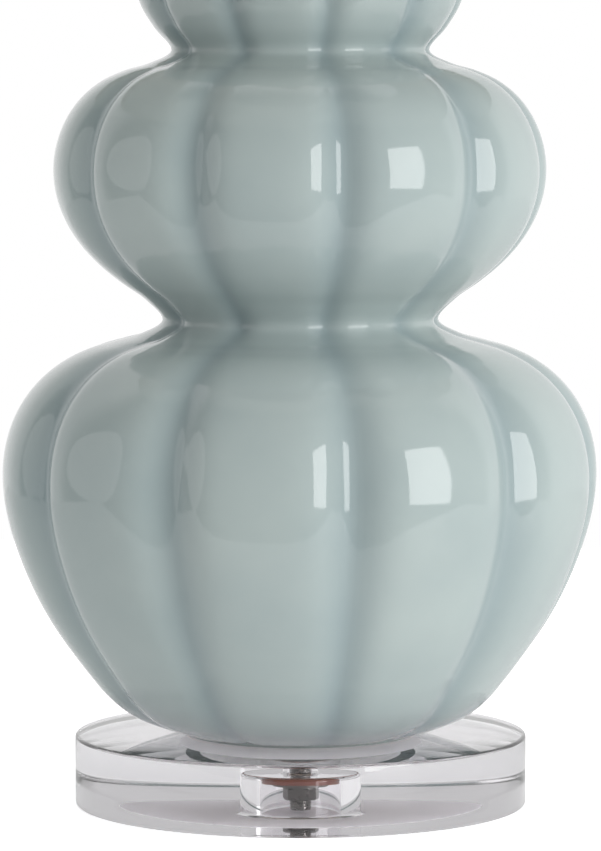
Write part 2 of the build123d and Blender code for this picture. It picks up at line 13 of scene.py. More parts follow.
import bpy
import numpy as np
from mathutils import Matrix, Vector

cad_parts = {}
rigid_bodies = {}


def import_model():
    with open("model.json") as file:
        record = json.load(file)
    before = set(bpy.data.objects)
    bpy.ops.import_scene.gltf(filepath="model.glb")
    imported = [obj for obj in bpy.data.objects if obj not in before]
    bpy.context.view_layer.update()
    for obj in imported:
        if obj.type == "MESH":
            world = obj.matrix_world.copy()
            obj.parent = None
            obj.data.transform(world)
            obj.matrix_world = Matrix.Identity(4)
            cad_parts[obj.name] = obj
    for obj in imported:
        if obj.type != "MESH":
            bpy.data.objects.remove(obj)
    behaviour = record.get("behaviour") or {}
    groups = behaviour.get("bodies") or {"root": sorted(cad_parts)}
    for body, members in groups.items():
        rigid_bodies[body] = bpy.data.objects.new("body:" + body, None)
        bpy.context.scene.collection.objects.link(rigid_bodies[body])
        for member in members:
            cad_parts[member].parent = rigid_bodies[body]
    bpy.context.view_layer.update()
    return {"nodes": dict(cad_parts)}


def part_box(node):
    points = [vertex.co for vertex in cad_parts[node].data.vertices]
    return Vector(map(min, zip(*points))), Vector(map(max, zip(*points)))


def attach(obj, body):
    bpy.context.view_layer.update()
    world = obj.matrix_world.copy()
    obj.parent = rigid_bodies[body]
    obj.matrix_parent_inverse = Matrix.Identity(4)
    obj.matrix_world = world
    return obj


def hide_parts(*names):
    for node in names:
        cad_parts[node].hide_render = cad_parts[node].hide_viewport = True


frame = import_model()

MM = 0.001
nodes = frame["nodes"]
scene = bpy.context.scene
print("nodes in the frame:", len(nodes))

# %% [markdown]
# ## The camera
# The photograph was taken with a long lens a little above the lamp's shoulder and slightly to
# the right of its front lobe. It is cropped just above the second waist, so the shade is outside
# the picture. A real lens at a real distance gives the same perspective without any shift.

# %% Place the camera
camera_azimuth = math.radians(8)
camera_distance = 2.17
camera_height = 0.348
camera_pitch = math.radians(4.65)

camera_data = bpy.data.cameras.new("camera")
camera_data.lens = 205
camera_data.clip_end = 50
camera = bpy.data.objects.new("camera", camera_data)
scene.collection.objects.link(camera)
camera.location = (
    camera_distance * math.sin(camera_azimuth),
    -camera_distance * math.cos(camera_azimuth),
    camera_height,
)
aim = Vector((0, 0, camera_height - camera_distance * math.tan(camera_pitch)))
camera.rotation_euler = (aim - camera.location).to_track_quat("-Z", "Y").to_euler()
scene.camera = camera
print("camera stands at", [round(value, 3) for value in camera.location])

# %% [markdown]
# ## Colours and nodes
# Colours are written as sRGB hex values, as a designer picks them, and turned to the linear
# values that the renderer adds up. One function adds a node together with its settings and its
# links, so that a material reads from top to bottom like a recipe.

# %% Helpers for materials
def colour(hex_code):
    """The linear colour of an sRGB hex value."""
    parts = [int(hex_code[i:i + 2], 16) / 255 for i in (1, 3, 5)]
    linear = [p / 12.92 if p <= 0.04045 else ((p + 0.055) / 1.055) ** 2.4 for p in parts]
    return (*linear, 1.0)


def add(tree, kind, inputs=None, **settings):
    """Adds a node. inputs gives a value or the socket to link, by the input's name or number."""
    node = tree.nodes.new(kind)
    for name, value in settings.items():
        setattr(node, name, value)
    for name, value in (inputs or {}).items():
        if isinstance(value, bpy.types.NodeSocket):
            tree.links.new(value, node.inputs[name])
        else:
            node.inputs[name].default_value = value
    return node


def material(name, **surface):
    """A new material: its tree and its Principled shader, with the values given for its sockets."""
    made = bpy.data.materials.new(name)
    made.use_nodes = True
    shader = made.node_tree.nodes["Principled BSDF"]
    for socket, value in surface.items():
        shader.inputs[socket.replace("_", " ").title().replace("Ior", "IOR")].default_value = value
    print("material:", name, surface)
    return made, made.node_tree, shader


# %% [markdown]
# ## Outlines and meshes
# Most of a lamp is turned or spun metal. A turned piece is an outline in radius and height,
# carried round the axis. Real edges are never sharp, and the small radius left by the tool is
# what catches the light, so each outline's corners are rounded before it is turned.

# %% Round off an outline
def rounded(corners, radius, steps=4):
    """A closed outline with its corners rounded off, in the unit of the outline."""
    points = []
    corners = [np.array(corner, float) for corner in corners]
    for index, here in enumerate(corners):
        before, after = corners[index - 1], corners[(index + 1) % len(corners)]
        back, ahead = before - here, after - here
        reach = min(radius, 0.45 * np.linalg.norm(back), 0.45 * np.linalg.norm(ahead))
        start = here + back / np.linalg.norm(back) * reach
        end = here + ahead / np.linalg.norm(ahead) * reach
        for step in range(steps + 1):
            t = step / steps
            points.append((1 - t) ** 2 * start + 2 * t * (1 - t) * here + t * t * end)
    return points


# %% Make a mesh
def make_mesh(name, points, faces):
    """A new smooth-shaded object from points in metres and faces."""
    mesh = bpy.data.meshes.new(name)
    mesh.from_pydata([tuple(point) for point in points], [], faces)
    mesh.update()
    mesh.shade_smooth()
    made = bpy.data.objects.new(name, mesh)
    scene.collection.objects.link(made)
    return made


def grid_faces(rows, columns, close_rows):
    """The quads of a grid that closes round its columns, and round its rows if asked."""
    faces = []
    for row in range(rows if close_rows else rows - 1):
        above = (row + 1) % rows
        for column in range(columns):
            side = (column + 1) % columns
            faces.append((row * columns + column, row * columns + side,
                          above * columns + side, above * columns + column))
    return faces


def turned(name, outline, sides=128):
    """Turns a closed outline of (radius, height) in millimetres round the lamp's axis.

    The outline runs up the outside and down the inside, so that the faces point outwards. One
    that meets the axis starts and ends there, and its ends are closed by a fan.
    """
    outline = [(r * MM, z * MM) for r, z in outline]
    solid = outline[0][0] < 1e-6
    rows = outline[1:-1] if solid else outline
    angles = np.linspace(0, 2 * math.pi, sides, endpoint=False)
    points = [(r * math.cos(a), r * math.sin(a), z) for r, z in rows for a in angles]
    faces = grid_faces(len(rows), sides, not solid)
    if solid:
        bottom, top = len(points), len(points) + 1
        points += [(0, 0, outline[0][1]), (0, 0, outline[-1][1])]
        last = (len(rows) - 1) * sides
        for side in range(sides):
            ahead = (side + 1) % sides
            faces.append((bottom, ahead, side))
            faces.append((top, last + side, last + ahead))
    return make_mesh(name, points, faces)


# %% [markdown]
# Each new piece gets its material and the body it rides on. One that stands for a drawn piece
# hides it, and takes its sizes from it, so nothing has to be fitted.

# %% Finish and measure pieces
def finish_piece(piece, finish, body, slot, *replaced):
    """Gives a piece its material and its body, and hides the nodes that it stands for. slot is not
    used.
    """
    piece.data.materials.append(finish)
    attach(piece, body)
    if replaced:
        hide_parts(*replaced)
    size = [round(side / MM, 1) for side in piece.dimensions]
    print(piece.name, "on", body, size, "mm,", len(piece.data.polygons), "faces")


def span(node):
    """(bottom, top, radius) of a node of the frame, in millimetres."""
    low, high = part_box(node)
    return low.z / MM, high.z / MM, (high.x - low.x) / 2 / MM


# %% [markdown]
# ## The ceramic body
# The body is slip-cast stoneware: three bellies, one above the other, with ten soft lobes that
# meet in narrow grooves. It could be modelled by hand and subdivided, but the lobes are regular,
# so a formula gives a cleaner surface. The outline is read off the frame, on a crest and in a
# groove, so the finished body has exactly the frame's size, and a cosine rounds each lobe.

# %% Read the outline of the body off the frame
lobes = 10
half_pitch = math.pi / lobes
front_crest = -math.pi / 2
plane_slack = 0.02 * MM


def wall_points(node, angle):
    """(height, radius) of the outer wall's corners in one upright half plane, from the bottom."""
    mesh = nodes[node].data
    outward = Vector((math.cos(angle), math.sin(angle), 0))
    across = Vector((-math.sin(angle), math.cos(angle), 0))
    found = {}
    for face in mesh.polygons:
        if face.normal.dot(outward) > 0.05:
            for index in face.vertices:
                place = mesh.vertices[index].co
                if abs(place.dot(across)) < plane_slack and place.dot(outward) > 0:
                    found[round(place.z, 6)] = place.dot(outward)
    return sorted(found.items())


crest_points = wall_points("ceramic_body", front_crest)
groove_points = wall_points("ceramic_body", front_crest + half_pitch)
crest_heights = np.array([z for z, r in crest_points])
crest_radii = np.array([r for z, r in crest_points])
groove_radii = np.interp(crest_heights, *zip(*groove_points))
groove_shares = 1 - groove_radii / crest_radii
print("levels read:", len(crest_points), "deepest groove share:", round(groove_shares.max(), 4))

# %% [markdown]
# The levels read are evenly spaced along the outline, so a smooth curve through them gives the
# rows between. The foot's ring and its recess come below them, and the neck's hole above.

# %% Rows of the body
rows_per_level = 6
rim_radius = 1.5 * MM      # roll of the wall into the foot and the lip
foot_ring = 7 * MM         # width of the ring that the body stands on
foot_recess = 3 * MM       # how far the underside is set up inside that ring
soft_edge = 1 * MM
rod_hole = 6 * MM
lip = 0.4 * MM
neck_hole = 10 * MM
hole_depth = 14 * MM


def smooth_through(values):
    """A smooth curve through evenly spaced values."""
    padded = np.concatenate([[2 * values[0] - values[1]], values, [2 * values[-1] - values[-2]]])
    result = []
    for a, b, c, d in zip(padded, padded[1:], padded[2:], padded[3:]):
        for step in range(rows_per_level):
            t = step / rows_per_level
            result.append(0.5 * (2 * b + (c - a) * t + (2 * a - 5 * b + 4 * c - d) * t * t
                                 + (3 * b - a - 3 * c + d) * t ** 3))
    return np.array([*result, values[-1]])


def body_rows():
    """(radius, height, groove share) of each row, from the foot's recess to the hole in the top."""
    foot, top = crest_heights[0], crest_heights[-1]
    foot_radius, neck = crest_radii[0], crest_radii[-1]
    recess = foot_radius - foot_ring
    ceiling = foot + foot_recess
    under = [(rod_hole, ceiling), (recess - soft_edge, ceiling), (recess, ceiling - soft_edge),
             (recess, foot + soft_edge), (recess + 0.6 * soft_edge, foot),
             (foot_radius - rim_radius, foot)]
    wall = list(zip(smooth_through(crest_radii), smooth_through(crest_heights),
                    smooth_through(groove_shares)))
    wall[0] = (foot_radius, foot + 0.5 * rim_radius, wall[0][2])
    over = [(neck - lip, top), (neck - rim_radius, top), (neck_hole, top),
            (neck_hole, top - hole_depth)]
    return [(r, z, 0.0) for r, z in under] + wall + [(r, z, 0.0) for r, z in over]


rows = body_rows()
print("rows of the body:", len(rows))

# %% [markdown]
# ### The cord's outlet
# The cord leaves through a flanged bushing low on the back lobe. The hole for it is cut in the
# dressed body too, and its edge lies hidden under the flange.

# %% Find the outlet
outlet_radius = 6.0 * MM
outlet_depth = 12 * MM     # only the wall this near to the flange is cut


def outlet_axis():
    """The middle of the bushing's flat front and the direction that it faces, out of the wall."""
    mesh = nodes["cord_bushing"].data
    fronts = {}
    for face in mesh.polygons:
        if face.normal.y > 0.5:
            fronts.setdefault(tuple(round(part, 2) for part in face.normal), []).append(face)
    front = max(fronts.values(), key=lambda faces: sum(face.area for face in faces))
    ring = {index for face in front for index in face.vertices}
    middle = np.mean([mesh.vertices[index].co for index in ring], axis=0)
    return middle, np.array(front[0].normal)


outlet_middle, outlet_outward = outlet_axis()
print("outlet at", np.round(outlet_middle / MM, 1), "mm, facing", np.round(outlet_outward, 2))

# %% [markdown]
# ### The lobes
# Each row is a ring of ten lobes. How deep a point lies between crest and groove is kept with it
# as an attribute, so that the glaze can pool in the grooves.

# %% Make the body
columns_per_lobe = 28
lobe_flatness = 2.55       # how flat the crests are: higher is flatter, with narrower grooves
unglazed_rows = 6          # the foot's rows, wiped clean of glaze so that it doesn't stick


def in_outlet(spot):
    """Whether a place on the wall lies in the outlet's hole."""
    from_middle = spot - outlet_middle
    depth = from_middle @ outlet_outward
    aside = np.linalg.norm(from_middle - depth * outlet_outward)
    return aside <= outlet_radius and abs(depth) <= outlet_depth


def gourd_mesh(name):
    """The lobed body, with its outlet cut and its foot marked for the second material."""
    columns = lobes * columns_per_lobe
    angles = front_crest + np.arange(columns) * 2 * math.pi / columns
    share = np.abs((np.arange(columns) / columns_per_lobe + 0.5) % 1 - 0.5) * 2
    depth = (1 - np.cos(math.pi * share ** lobe_flatness)) / 2
    points, grooves = [], []
    for radius, height, groove in rows:
        reach = radius * (1 - groove * depth)
        points += zip(reach * np.cos(angles), reach * np.sin(angles), [height] * columns)
        grooves += list(depth * (groove > 0))
    points = np.array(points)
    faces = [face for face in grid_faces(len(rows), columns, False)
             if not in_outlet(points[list(face)].mean(axis=0))]
    made = make_mesh(name, points, faces)
    stored = made.data.attributes.new("groove", "FLOAT", "POINT")
    stored.data.foreach_set("value", np.array(grooves, np.float32))
    for face in made.data.polygons:
        face.material_index = int(max(face.vertices) < unglazed_rows * columns)
    return made


gourd = gourd_mesh("gourd_body")
print("body mesh:", len(gourd.data.vertices), "points")

# %% [markdown]
# ### Celadon glaze
# Celadon is a glossy, slightly translucent feldspar glaze, coloured grey-green by a little iron.
# It runs as it melts, so it is thin and pale on the crests and pools darker in the grooves.
# Glass has an IOR near 1.5 and a polished glaze a roughness well under 0.1. Its surface has a
# very shallow ripple, some millimetres across, that softens straight reflections.

# %% Celadon glaze
cloud_size = 60 * MM
ripple_size, ripple_height = 9 * MM, 0.02 * MM
pooled_share, drifted_share = 0.45, 0.25

glaze, tree, shader = material("glazed_stoneware_celadon", roughness=0.07, ior=1.5)
place = add(tree, "ShaderNodeTexCoord").outputs["Object"]
groove = add(tree, "ShaderNodeAttribute", attribute_name="groove").outputs["Fac"]
clouds = add(tree, "ShaderNodeTexNoise", {"Vector": place, "Scale": 1 / cloud_size, "Detail": 4.0})
pool = add(tree, "ShaderNodeMath", {0: groove, 1: pooled_share}, operation="MULTIPLY")
drift = add(tree, "ShaderNodeMapRange", {"Value": clouds.outputs["Fac"], "From Min": 0.3,
                                         "From Max": 0.7, "To Min": 0.0, "To Max": drifted_share})
thick = add(tree, "ShaderNodeMath", {0: pool.outputs[0], 1: drift.outputs[0]}, operation="ADD",
            use_clamp=True)
tint = add(tree, "ShaderNodeMix", {
    "Factor": thick.outputs[0], "A": colour("#aebab8"), "B": colour("#84969b")}, data_type="RGBA")
tree.links.new(tint.outputs["Result"], shader.inputs["Base Color"])
ripple = add(tree, "ShaderNodeTexNoise", {"Vector": place, "Scale": 1 / ripple_size, "Detail": 1.0})
bump = add(tree, "ShaderNodeBump", {
    "Height": ripple.outputs["Fac"], "Distance": ripple_height, "Strength": 0.6})
tree.links.new(bump.outputs["Normal"], shader.inputs["Normal"])
finish_piece(gourd, glaze, "lamp_base", "glaze", "ceramic_body")

# %% [markdown]
# ### Bare foot
# The foot is wiped before firing and stays bare: matt, buff stoneware with fine dark specks.

# %% Bare stoneware
speck_size = 0.8 * MM
stoneware, tree, shader = material("bare_stoneware", roughness=0.85)
place = add(tree, "ShaderNodeTexCoord").outputs["Object"]
specks = add(tree, "ShaderNodeTexNoise", {"Vector": place, "Scale": 1 / speck_size, "Detail": 3.0})
share = add(tree, "ShaderNodeMapRange", {
    "Value": specks.outputs["Fac"], "From Min": 0.35, "From Max": 0.5})
tint = add(tree, "ShaderNodeMix", {
    "Factor": share.outputs[0], "A": colour("#b9ac98"), "B": colour("#d9d1c3")}, data_type="RGBA")
tree.links.new(tint.outputs["Result"], shader.inputs["Base Color"])
gourd.data.materials.append(stoneware)
print("bare faces:", sum(face.material_index for face in gourd.data.polygons))

# %% [markdown]
# ## The clear base
# The lamp stands on a thick disc of cast acrylic with polished faces. It could be made of the
# frame's own solid, but its sharp bevels would catch no light, so it is turned again with
# rounded rims. Acrylic has an IOR of 1.49, and wiping leaves it a touch less polished in places.
# A film of air stays between the pocket's ceiling and the washer, so that the ceiling mirrors.

# %% Acrylic disc
disc_bottom, disc_top, disc_radius = span("acrylic_base")
pocket_top = span("fibre_washer")[1]
pocket_radius = 18.25
bore_radius = 5.25
air_film = 0.06
ceiling = pocket_top + air_film
disc_outline = rounded([
    (pocket_radius, disc_bottom), (disc_radius, disc_bottom), (disc_radius, disc_top),
    (bore_radius, disc_top), (bore_radius, ceiling), (pocket_radius, ceiling),
], radius=1.6, steps=6)
clear_base = turned("clear_base", disc_outline, sides=256)

wipe_size = 3 * MM
wiped_roughness = 0.03
acrylic, tree, shader = material("cast_acrylic", roughness=0.0, ior=1.49, transmission_weight=1.0)
shader.inputs["Base Color"].default_value = colour("#f5f3f6")
place = add(tree, "ShaderNodeTexCoord").outputs["Object"]
wipes = add(tree, "ShaderNodeTexNoise", {"Vector": place, "Scale": 1 / wipe_size, "Detail": 6.0})
haze = add(tree, "ShaderNodeMapRange", {"Value": wipes.outputs["Fac"], "From Min": 0.55,
                                        "From Max": 0.8, "To Min": 0.0, "To Max": wiped_roughness})
tree.links.new(haze.outputs[0], shader.inputs["Roughness"])
finish_piece(clear_base, acrylic, "lamp_base", "acrylic", "acrylic_base")

# %% [markdown]
# ### The pad and the clamp under the disc
# A thin grey pad is stuck under the disc, wetted against the acrylic, so it shows as a clean
# ellipse. Above it, in the pocket, a nut, a toothed washer, a steel washer and a red-brown washer
# of vulcanised fibre clamp the disc to the lamp pipe. Felt, fibre and most plastics differ only
# in tone, gloss and grain, so one helper makes them all.

# %% A helper for mottled materials
def mottled(name, dark, pale, grain, relief, detail=2.0, **surface):
    """A material whose colour and gloss wander over marks, grain wide and relief high in mm."""
    made, tree, shader = material(name, **surface)
    place = add(tree, "ShaderNodeTexCoord").outputs["Object"]
    marks = add(tree, "ShaderNodeTexNoise", {
        "Vector": place, "Scale": 1 / (grain * MM), "Detail": detail}).outputs["Fac"]
    tint = add(tree, "ShaderNodeMix", {"Factor": marks, "A": colour(dark), "B": colour(pale)},
               data_type="RGBA")
    tree.links.new(tint.outputs["Result"], shader.inputs["Base Color"])
    gloss = add(tree, "ShaderNodeMapRange", {
        "Value": marks, "From Min": 0.3, "From Max": 0.7,
        "To Min": 0.88 * surface["roughness"], "To Max": min(1.12 * surface["roughness"], 1.0)})
    tree.links.new(gloss.outputs["Result"], shader.inputs["Roughness"])
    bump = add(tree, "ShaderNodeBump", {"Height": marks, "Distance": relief * MM, "Strength": 0.6})
    tree.links.new(bump.outputs["Normal"], shader.inputs["Normal"])
    return made


def dress(finish, *names):
    """Gives pieces of the frame their material."""
    for name in names:
        nodes[name].data.materials.clear()
        nodes[name].data.materials.append(finish)
    print(finish.name, "on", names)


# %% Pad and fibre washer
pad_bottom, pad_top, pad_radius = span("underside_pad")
wetted = 0.1               # how far the pad's top stands into the acrylic, so that no air shows
pad_face = pad_top + wetted
pad_rim = rounded([(0.0, pad_bottom), (pad_radius, pad_bottom), (pad_radius, pad_face),
                   (0.0, pad_face)], radius=0.3)
pad_rim = [corner for corner in pad_rim if corner[0] > pad_radius / 2]
pad = turned("grey_pad", [(0.0, pad_bottom), *pad_rim, (0.0, pad_face)], sides=192)

# Felt is quite matt, with a nap. Fibre is dull and leathery, with darker flecks.
felt = mottled("pressed_grey_felt", "#e6e3e6", "#f2eff2", 0.6, 0.1, detail=5.0, roughness=0.95)
finish_piece(pad, felt, "lamp_base", "felt", "underside_pad")
fibre = mottled("vulcanised_fibre", "#6e3524", "#8c4a32", 1.5, 0.05, detail=4.0, roughness=0.55)
dress(fibre, "fibre_washer")

# %% [markdown]
# ### Metals
# Plated steel and brass mirror the room in their own colour: zinc plate is satin, nickel a warm
# mirror, turned brass in between. Handling leaves faint marks, which make the gloss uneven.

# %% Metals and small hardware
def metal(name, base, roughness, scratch_size, scratch_share):
    """A metal whose roughness varies a little over fine marks of the given size in millimetres."""
    made, tree, shader = material(name, metallic=1.0, roughness=roughness)
    shader.inputs["Base Color"].default_value = colour(base)
    place = add(tree, "ShaderNodeTexCoord").outputs["Object"]
    marks = add(tree, "ShaderNodeTexNoise",
                {"Vector": place, "Scale": 1 / (scratch_size * MM), "Detail": 3.0})
    spread = add(tree, "ShaderNodeMapRange", {
        "Value": marks.outputs["Fac"], "From Min": 0.3, "From Max": 0.7,
        "To Min": roughness * (1 - scratch_share), "To Max": roughness * (1 + scratch_share)})
    tree.links.new(spread.outputs[0], shader.inputs["Roughness"])
    return made


zinc = metal("zinc_plated_steel", "#8f8d89", 0.32, 1.2, 0.35)
dark_zinc = metal("black_zinc_steel", "#6a6764", 0.34, 1.0, 0.3)
nickel = metal("polished_nickel", "#cfcac1", 0.10, 2.5, 0.35)
brass = metal("plain_brass", "#c2a25c", 0.25, 1.0, 0.3)
dress(zinc, "set_screw", "switch_shaft")
dress(brass, "terminal_screws", "centre_contact", "screw_shell")
dress(dark_zinc, "base_nut", "flat_washer", "lock_washer")

# %% [markdown]
# ### The lamp pipe
# The pipe has a thread all along: 27 turns to the inch. Only its lower end shows, through the
# disc, so the thread is cut there as a real helix, and the rest stays a plain pipe.

# %% Threaded lamp pipe
rod_bottom, rod_top, rod_radius = span("threaded_rod")
rod_bore = 3.35
thread_pitch = 25.4 / 27
thread_depth = 0.45
thread_top = disc_top + 3
pipe_sides, rows_per_turn = 48, 6


def threaded_pipe(name):
    """A pipe whose outside is a helix up to thread_top, and plain above it."""
    rows = int((thread_top - rod_bottom) / thread_pitch * rows_per_turn)
    angles = np.linspace(0, 2 * math.pi, pipe_sides, endpoint=False)
    points = []

    def ring(radii, height):
        points.extend((r * MM * math.cos(a), r * MM * math.sin(a), height * MM)
                      for r, a in zip(radii, angles))

    for row in range(rows + 1):
        height = rod_bottom + row / rows_per_turn * thread_pitch
        turn = (height - rod_bottom) / thread_pitch - angles / (2 * math.pi)
        flank = np.abs(2 * (turn % 1) - 1)
        ease = min(row / rows_per_turn, (rows - row) / rows_per_turn, 1)
        ring(rod_radius - thread_depth * (1 - ease * flank), height)
    plain = np.ones(pipe_sides)
    ring(plain * (rod_radius - thread_depth), rod_top)
    ring(plain * rod_bore, rod_top)
    ring(plain * rod_bore, rod_bottom)
    return make_mesh(name, points, grid_faces(rows + 4, pipe_sides, True))


finish_piece(threaded_pipe("lamp_pipe"), zinc, "lamp_base", "zinc_rod", "threaded_rod")

# %% [markdown]
# ### The soft ring under the foot
# A thin ring of smoky silicone keeps the stoneware off the acrylic, and the outlet's bushing is
# moulded of the same. Silicone is satin and a little dusty.

# %% Silicone pieces
silicone = mottled("moulded_silicone", "#858f8d", "#9aa3a1", 2.0, 0.02, detail=3.0,
                   roughness=0.45, ior=1.41)
dress(silicone, "foot_gasket", "cord_bushing")

# %% [markdown]
# ## Nickel hardware
# The cap, the neck and the socket are spun or turned brass with polished nickel plate: a warm
# grey mirror with faint marks. Each is turned again here on the frame's sizes, with the beads
# and the rolled edges that the tools leave. The cap is spun sheet: a turned-down rim, a low
# shoulder, and a flat collar round the pipe.

# %% Vase cap
pipe_hole = 5.2            # radius of the holes that the lamp pipe passes
cap_sheet = 1.2
cap_shoulder = 3.0         # how far the shoulder is set in from the rim
collar_share = 0.36        # of the cap's radius
cap_bottom, cap_top, cap_radius = span("vase_cap")
rise = cap_top - cap_bottom
collar = cap_radius * collar_share
cap_outline = rounded([
    (cap_radius - cap_sheet, cap_bottom), (cap_radius, cap_bottom),
    (cap_radius, cap_bottom + 0.33 * rise), (cap_radius - cap_shoulder, cap_bottom + 0.53 * rise),
    (cap_radius * 0.62, cap_bottom + 0.74 * rise), (collar, cap_top), (pipe_hole, cap_top),
    (pipe_hole, cap_top - cap_sheet), (collar, cap_top - cap_sheet),
    (cap_radius - cap_sheet, cap_bottom + 0.2 * rise),
], radius=1.0)
finish_piece(turned("spun_cap", cap_outline), nickel, "lamp_base", "nickel", "vase_cap")

# %% [markdown]
# The neck is a turned spindle: a slim waist between two beads.

# %% Neck spindle
neck_waist, bead = 7.6, 2.6
neck_bottom, neck_top, neck_radius = span("neck_tube")
neck_outline = rounded([
    (pipe_hole, neck_bottom), (neck_radius, neck_bottom), (neck_radius, neck_bottom + bead),
    (neck_waist + 1, neck_bottom + 1.5 * bead), (neck_waist, (neck_bottom + neck_top) / 2),
    (neck_waist + 1, neck_top - 1.5 * bead), (neck_radius, neck_top - bead),
    (neck_radius, neck_top), (pipe_hole, neck_top),
], radius=1.2)
finish_piece(turned("turned_neck", neck_outline, sides=96), nickel, "lamp_base", "nickel",
             "neck_tube")

# %% [markdown]
# The socket's cap is a cup drawn from thin sheet, with a short neck under it. The shell, the
# harp's saddle, the ferrules and the swivel keep their drawn shape.

# %% Socket cup and the other nickel pieces
cup_neck, cup_neck_inside = 7.6, 7.0
cup_sheet = 0.8
cup_bottom, cup_top, cup_radius = span("socket_cap")
cup_rise = cup_top - cup_bottom
cup_floor = cup_bottom + 0.42 * cup_rise
cup_outline = rounded([
    (pipe_hole, cup_bottom), (cup_neck, cup_bottom), (cup_neck, cup_bottom + 0.34 * cup_rise),
    (cup_radius * 0.66, cup_bottom + 0.48 * cup_rise),
    (cup_radius * 0.92, cup_bottom + 0.66 * cup_rise),
    (cup_radius, cup_bottom + 0.82 * cup_rise), (cup_radius, cup_top),
    (cup_radius - cup_sheet, cup_top), (cup_radius - cup_sheet, cup_bottom + 0.8 * cup_rise),
    (cup_neck_inside, cup_floor), (pipe_hole, cup_floor),
], radius=1.4)
finish_piece(turned("socket_cup", cup_outline, sides=96), nickel, "lamp_base", "nickel",
             "socket_cap")
dress(nickel, "socket_shell", "harp_saddle", "ferrule_left", "ferrule_right", "harp_swivel")

# %% [markdown]
# ## Bent wire
# The harp and the shade's frame are bent wire. A curve object with a round bevel would do, but a
# tube built ring by ring keeps its joints with the flat parts under control. Each bend is given
# by the corner that it rounds and by its radius.

# %% Helpers for wire
wire_sides = 16


def bent(corners, radii, steps=10):
    """An open path through corners in (across, up) millimetres, with each inner corner bent."""
    corners = [np.array(corner, float) for corner in corners]
    path = [corners[0]]
    for before, here, after, radius in zip(corners, corners[1:], corners[2:], radii):
        back = (before - here) / np.linalg.norm(before - here)
        ahead = (after - here) / np.linalg.norm(after - here)
        half_turn = (math.pi - math.acos(np.clip(back @ ahead, -1, 1))) / 2
        reach = radius * math.tan(half_turn)
        for t in np.linspace(0, 1, steps + 1):
            path.append((1 - t) ** 2 * (here + back * reach) + 2 * t * (1 - t) * here
                        + t * t * (here + ahead * reach))
    return [*path, corners[-1]]


def wire(name, path, radius, turn=0.0):
    """A round wire along a path of (across, up) millimetres in the upright plane at an azimuth."""
    plane = np.array([math.cos(turn), math.sin(turn), 0.0])
    up = np.array([0.0, 0.0, 1.0])
    square = np.cross(plane, up)
    spots = [(plane * across + up * height) * MM for across, height in path]
    points = []
    for index, spot in enumerate(spots):
        along = spots[min(index + 1, len(spots) - 1)] - spots[max(index - 1, 0)]
        normal = np.cross(along / np.linalg.norm(along), square)
        for a in np.linspace(0, 2 * math.pi, wire_sides, endpoint=False):
            points.append(spot + radius * MM * (math.cos(a) * normal + math.sin(a) * square))
    last_ring = (len(spots) - 1) * wire_sides
    ends = [tuple(range(wire_sides)), tuple(range(last_ring, len(points)))[::-1]]
    return make_mesh(name, points, grid_faces(len(spots), wire_sides, False) + ends)


def hoop(name, radius, height, wire_radius):
    """A ring of round wire about the lamp's axis."""
    outline = [(radius + wire_radius * math.cos(a), height + wire_radius * math.sin(a))
               for a in np.linspace(0, 2 * math.pi, wire_sides, endpoint=False)]
    return turned(name, outline, sides=192)


def joined(name, parts):
    """One object out of several, whose own objects are taken away."""
    points, faces = [], []
    for part in parts:
        start = len(points)
        points += [tuple(vertex.co) for vertex in part.data.vertices]
        faces += [tuple(start + index for index in face.vertices) for face in part.data.polygons]
        bpy.data.objects.remove(part)
    return make_mesh(name, points, faces)


# %% [markdown]
# ### Harp
# The harp is one length of nickel-plated wire, bent round the bulb and hammered flat at the
# top, where a hole takes the swivel that carries the shade.

# %% Bend the harp's wire
saddle_bottom = span("harp_saddle")[0]
harp_bottom, harp_top, harp_reach = span("harp")
harp_wire = 1.6            # radius of the wire
foot_reach = 28.0          # from the axis to each leg
leg_length = 30.0
bulge_from, bulge_to = 77.0, 130.0    # above the saddle's underside
top_reach = 13.0           # from the axis to the bend into the flat top
bulge = harp_reach - harp_wire
right_side = [(foot_reach, harp_bottom), (foot_reach, harp_bottom + leg_length),
              (bulge, saddle_bottom + bulge_from), (bulge, saddle_bottom + bulge_to),
              (top_reach, harp_top - harp_wire)]
side_bends = [12, 20, 60, 12]
harp_path = bent(right_side + [(-across, up) for across, up in reversed(right_side)],
                 side_bends + side_bends[::-1])
print("harp wire points:", len(harp_path))

# %% Flatten its top and finish it
plate_half_length, plate_half_width = top_reach + 1.5, 5.5
plate_hole, plate_thick, plate_edge = 4.0, 3.0, 0.5
plate_sides = 72
wire_end = 5.0             # from the axis to where the round wire ends inside the plate


def flat_plate(name):
    """The hammered top of the harp: an oval plate with a round hole, its edges softened."""
    bottom, top = harp_top - plate_thick, harp_top
    rings = [(plate_edge, bottom), (0, bottom + plate_edge), (0, top - plate_edge),
             (plate_edge, top), (None, top), (None, bottom)]
    points = []
    for shrink, height in rings:
        for a in np.linspace(0, 2 * math.pi, plate_sides, endpoint=False):
            c, d = math.cos(a), math.sin(a)
            reach = plate_hole if shrink is None else (
                abs(c) ** 4 / (plate_half_length - shrink) ** 4
                + abs(d) ** 4 / (plate_half_width - shrink) ** 4) ** -0.25
            points.append((reach * c * MM, reach * d * MM, height * MM))
    return make_mesh(name, points, grid_faces(len(rings), plate_sides, True))


harp = joined("harp_wire", [
    wire("harp_side_a", [spot for spot in harp_path if spot[0] > wire_end], harp_wire),
    wire("harp_side_b", [spot for spot in harp_path if spot[0] < -wire_end], harp_wire),
    flat_plate("harp_plate"),
])
finish_piece(harp, nickel, "lamp_base", "nickel", "harp")

